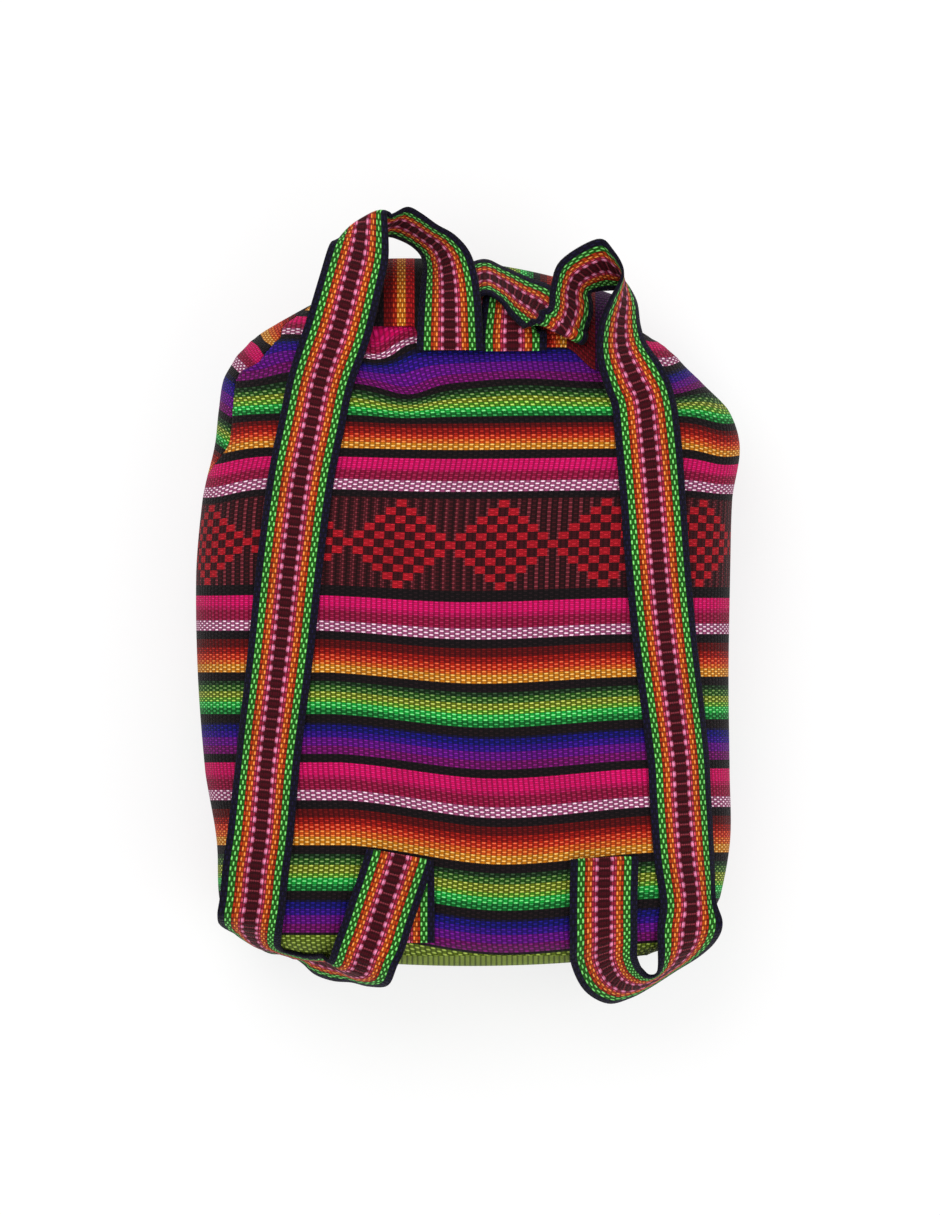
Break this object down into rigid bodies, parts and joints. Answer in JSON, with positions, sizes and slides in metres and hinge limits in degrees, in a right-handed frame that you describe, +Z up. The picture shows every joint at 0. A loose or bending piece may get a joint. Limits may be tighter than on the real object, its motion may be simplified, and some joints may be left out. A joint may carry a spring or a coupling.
{
  "type": "striped woven backpack",
  "caption": "Soft woven backpack with a gathered mouth under a flap and woven belts for shoulder straps, lying stuffed on its front.",
  "frame": {"origin": "on the surface the bag lies on, under the middle of the whole object", "axes": "+X across the bag, +Y from the base to the mouth, +Z up, away from the surface; the back panel and the straps face +Z"},
  "size_m": [0.3151, 0.4652, 0.1258],
  "materials": {
    "striped_cloth": "hand-woven cotton with cross stripes",
    "striped_cloth_front": "hand-woven cotton with cross stripes",
    "base_cloth": "hand-woven cotton",
    "flap_cloth": "hand-woven cotton with stripes",
    "woven_belt": "firm woven belt with long stripes",
    "woven_belt_right": "firm woven belt with long stripes"
  },
  "bodies": {
    "root": {"back_panel": "striped_cloth", "front_panel": "striped_cloth_front", "base_panel": "base_cloth", "flap": "flap_cloth", "strap_left": "woven_belt", "strap_right": "woven_belt_right"}
  },
  "joints": []
}
